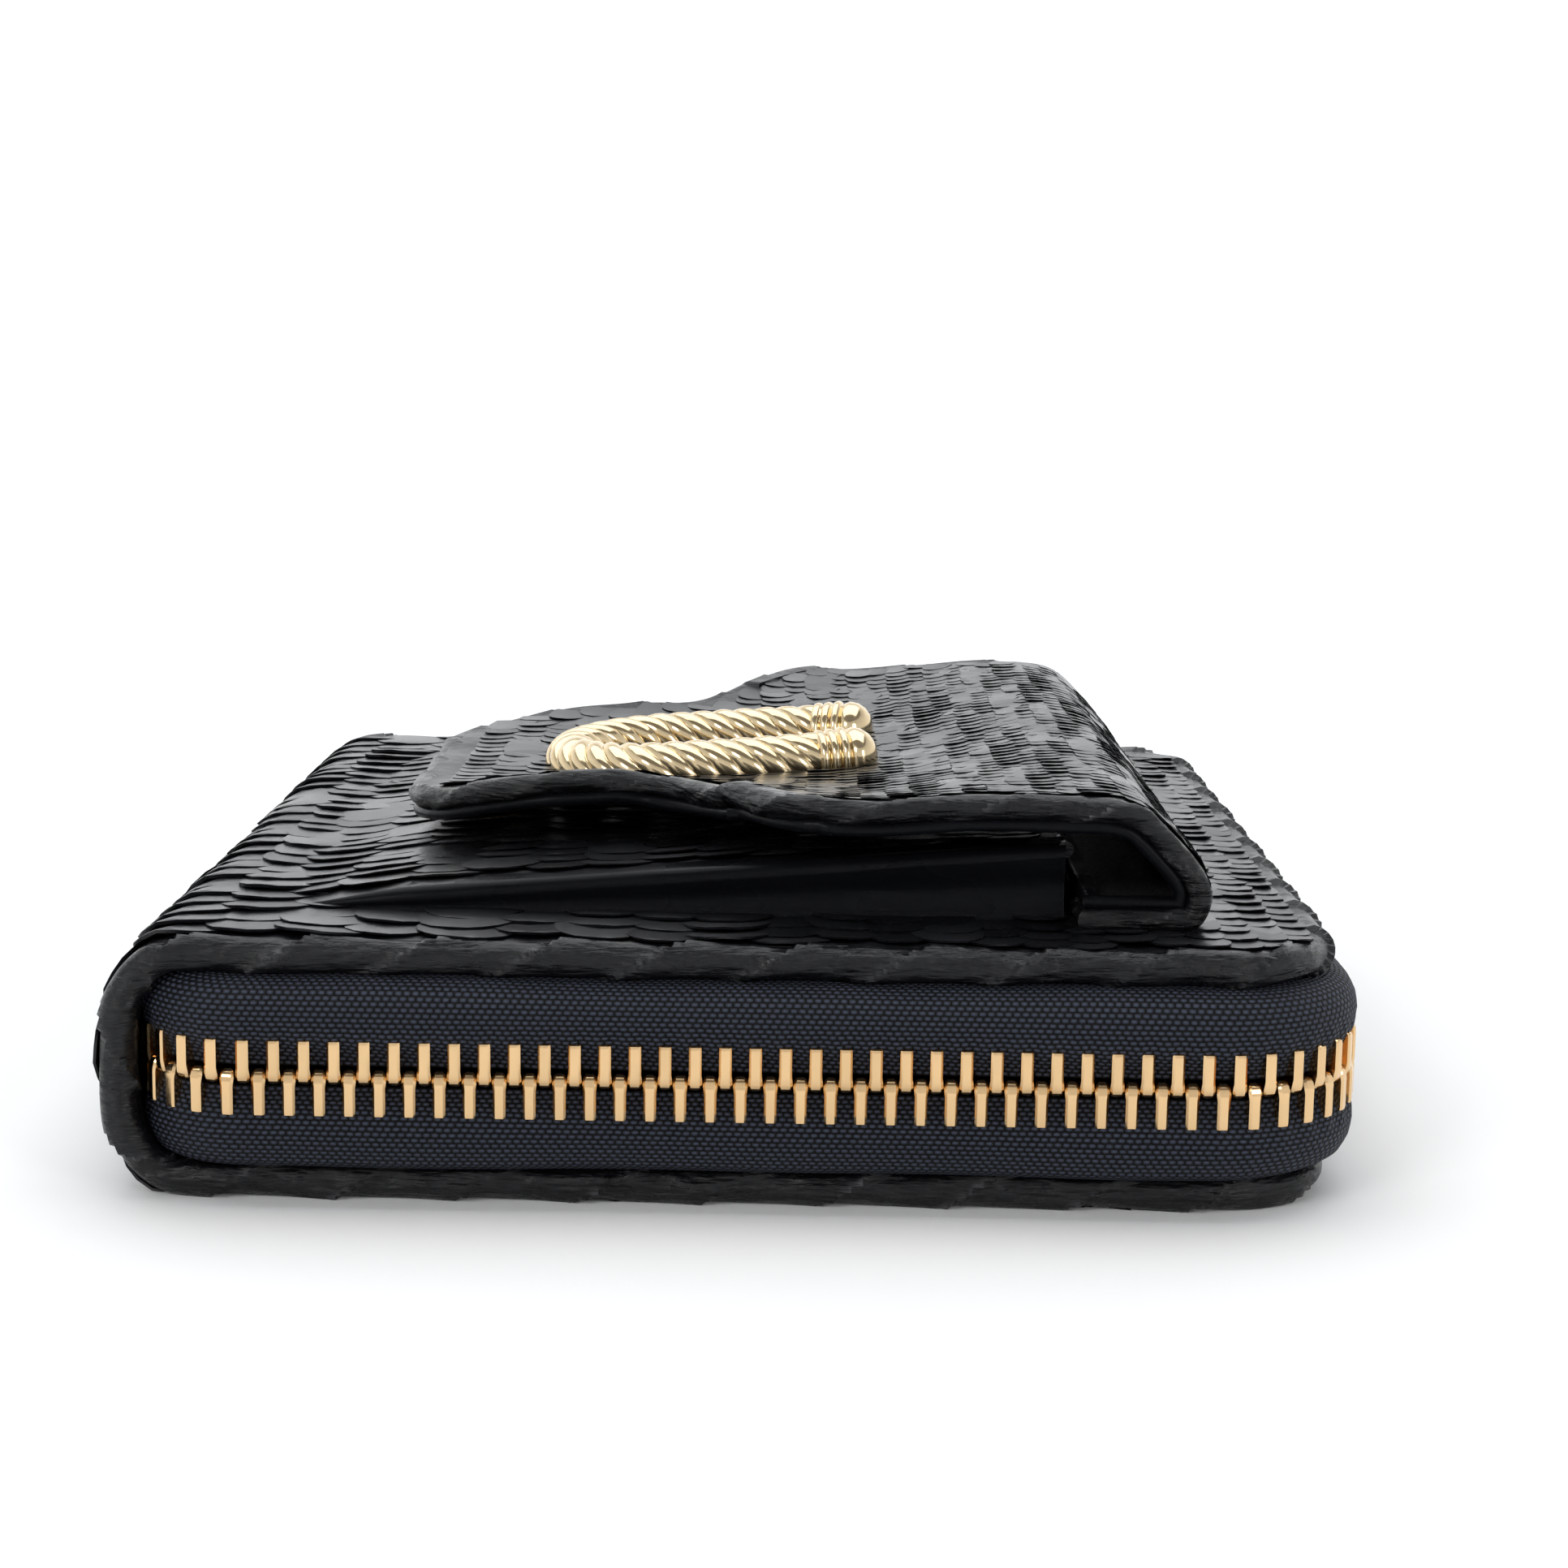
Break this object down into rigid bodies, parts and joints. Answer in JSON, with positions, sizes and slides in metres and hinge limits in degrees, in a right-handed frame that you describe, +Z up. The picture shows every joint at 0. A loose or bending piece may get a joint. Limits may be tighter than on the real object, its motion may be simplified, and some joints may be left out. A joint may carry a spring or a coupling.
{
  "type": "zip around wallet",
  "caption": "Zip around wallet in glossy scaled leather, with a gusseted flap pocket, a metal rope emblem and card slots inside.",
  "frame": {"origin": "middle of the flat back that the wallet lies on", "axes": "+Z up through the front cover, +X from the spine to the long zip side, +Y along the spine"},
  "size_m": [0.0998, 0.1156, 0.0339],
  "materials": {
    "scaled_leather": "glossy lifted scales",
    "edge_leather": "matte scaled leather",
    "gloss_leather": "smooth gloss",
    "inner_leather": "fine grain",
    "lining": "smooth satin",
    "board": "raw fibre board",
    "padding": "felt",
    "tape": "twill weave",
    "zip_metal": "polished pale gold",
    "emblem_metal": "polished champagne gold",
    "snap_metal": "satin"
  },
  "bodies": {
    "root": {"back_leather": "scaled_leather", "back_board": "board", "back_lining": "lining", "back_turned_edge": "edge_leather", "spine_lower": "scaled_leather", "spine_lining_lower": "lining", "zip_tape_lower": "tape", "zip_teeth_lower": "zip_metal", "zip_bottom_stop": "zip_metal", "zip_top_stop_lower": "zip_metal", "back_card_slot_1": "inner_leather", "back_card_slot_2": "inner_leather", "back_card_slot_3": "inner_leather", "near_gusset_lower": "inner_leather", "far_gusset_lower": "inner_leather"},
    "front_cover": {"front_leather": "scaled_leather", "front_board": "board", "front_lining": "lining", "front_turned_edge": "edge_leather", "spine_upper": "scaled_leather", "spine_lining_upper": "lining", "zip_tape_upper": "tape", "zip_teeth_upper": "zip_metal", "zip_top_stop_upper": "zip_metal", "front_card_slot_1": "inner_leather", "front_card_slot_2": "inner_leather", "front_card_slot_3": "inner_leather", "near_gusset_upper": "inner_leather", "far_gusset_upper": "inner_leather", "pocket_front": "scaled_leather", "pocket_lining": "lining", "pocket_gusset_near": "gloss_leather", "pocket_gusset_far": "gloss_leather", "snap_socket": "snap_metal", "flap_base_leather": "scaled_leather", "flap_base_lining": "lining"},
    "flap": {"flap_leather": "scaled_leather", "flap_padding": "padding", "flap_lining": "lining", "snap_stud": "snap_metal", "emblem_rope": "emblem_metal", "emblem_finials": "emblem_metal", "emblem_posts": "snap_metal"},
    "divider": {"divider_core": "board", "divider_back_leather": "inner_leather", "divider_front_leather": "inner_leather"},
    "slider": {"slider_body": "zip_metal", "slider_bridge": "zip_metal"},
    "puller": {"puller": "zip_metal"}
  },
  "joints": [
    {"name": "cover_fold", "type": "hinge", "parent": "root", "child": "front_cover", "pos_m": [-0.05, 0, 0.01025], "axis": [0, -1, 0], "range_deg": [0, 70], "deforming": ["near_gusset_lower", "far_gusset_lower", "near_gusset_upper", "far_gusset_upper"]},
    {"name": "divider_fold", "type": "hinge", "parent": "root", "child": "divider", "pos_m": [-0.05, 0, 0.01025], "axis": [0, -1, 0], "range_deg": [0, 35]},
    {"name": "flap_open", "type": "hinge", "parent": "front_cover", "child": "flap", "pos_m": [0.0393, 0, 0.02585], "axis": [0, 1, 0], "range_deg": [0, 150]},
    {"name": "zip_slide", "type": "slide", "parent": "root", "child": "slider", "axis": [1, 0, 0], "range_m": [0, 0.07], "deforming": ["zip_teeth_lower", "zip_teeth_upper"]},
    {"name": "puller_swing", "type": "hinge", "parent": "slider", "child": "puller", "pos_m": [-0.0405, 0.05785, 0.01025], "axis": [0, 0, 1], "range_deg": [0, 175]}
  ],
  "couplings": [
    {"joint": "divider_fold", "follows": "cover_fold", "ratio": 0.5}
  ]
}
